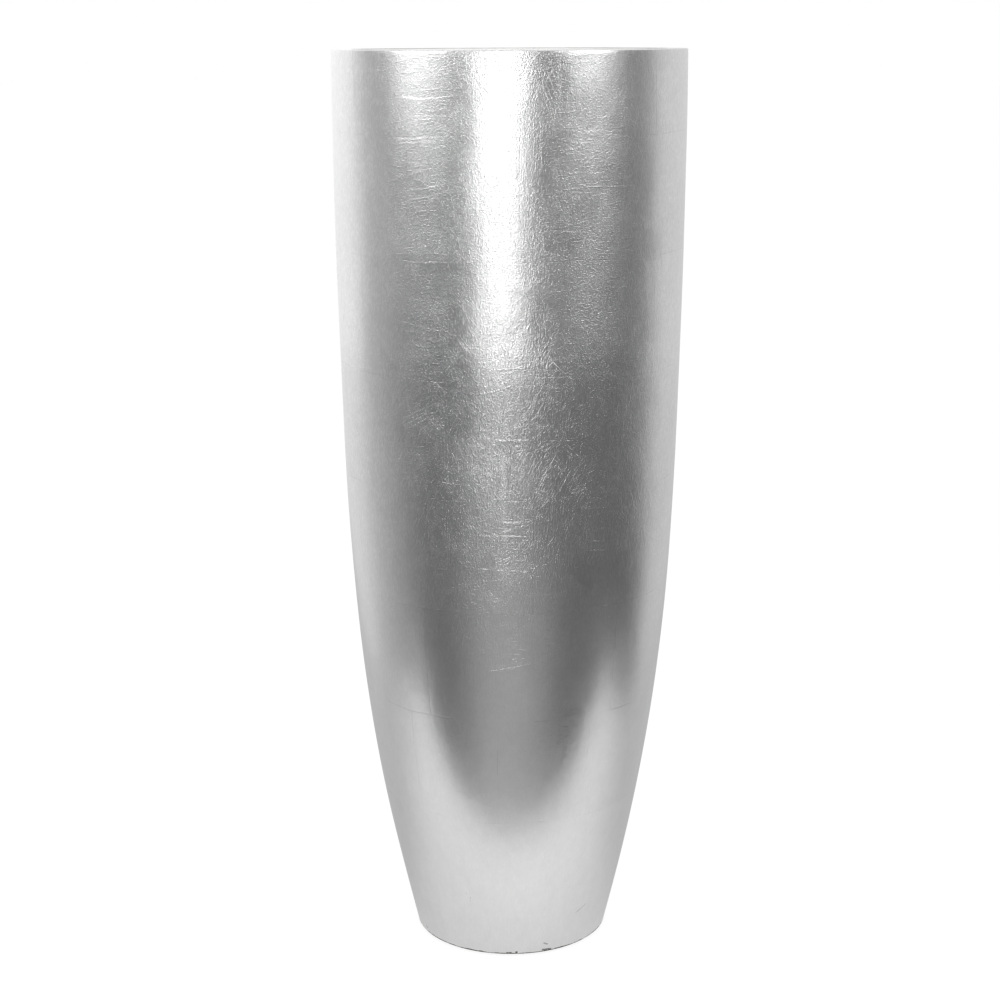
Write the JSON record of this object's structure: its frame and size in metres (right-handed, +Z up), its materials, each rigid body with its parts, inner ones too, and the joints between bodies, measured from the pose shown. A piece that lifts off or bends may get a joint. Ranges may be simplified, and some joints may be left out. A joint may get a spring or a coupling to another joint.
{
  "type": "planter",
  "caption": "Tall round floor planter, tapered towards the foot, with a turned-in rim and a lift-out liner pot with two wire handles.",
  "frame": {"origin": "middle of the foot, on the floor", "axes": "+Z up along the planter's axis, from the foot to the open mouth; the two handles lie on -X and +X"},
  "size_m": [0.3706, 0.3706, 0.97],
  "materials": {
    "leafed_shell": "polished",
    "leafed_rim": "polished",
    "plywood": "matte",
    "laminate": "matte",
    "cast_ballast": "matte",
    "felt": "matte",
    "liner_plastic": "satin",
    "wire": "satin"
  },
  "bodies": {
    "planter": {"shell": "leafed_shell", "rim_return": "leafed_rim", "liner_ledge": "plywood", "base_disc": "laminate", "ballast_slab": "cast_ballast", "floor_pads": "felt"},
    "liner": {"liner_pot": "liner_plastic"},
    "left_handle": {"handle_left": "wire"},
    "right_handle": {"handle_right": "wire"}
  },
  "joints": [
    {"name": "liner_lift", "type": "slide", "parent": "planter", "child": "liner", "axis": [0, 0, 1], "range_m": [0, 0.36]},
    {"name": "left_handle_swing", "type": "hinge", "parent": "liner", "child": "left_handle", "pos_m": [-0.124, 0, 0.911], "axis": [0, -1, 0], "range_deg": [-5, 205]},
    {"name": "right_handle_swing", "type": "hinge", "parent": "liner", "child": "right_handle", "pos_m": [0.124, 0, 0.911], "axis": [0, 1, 0], "range_deg": [-5, 205]}
  ]
}
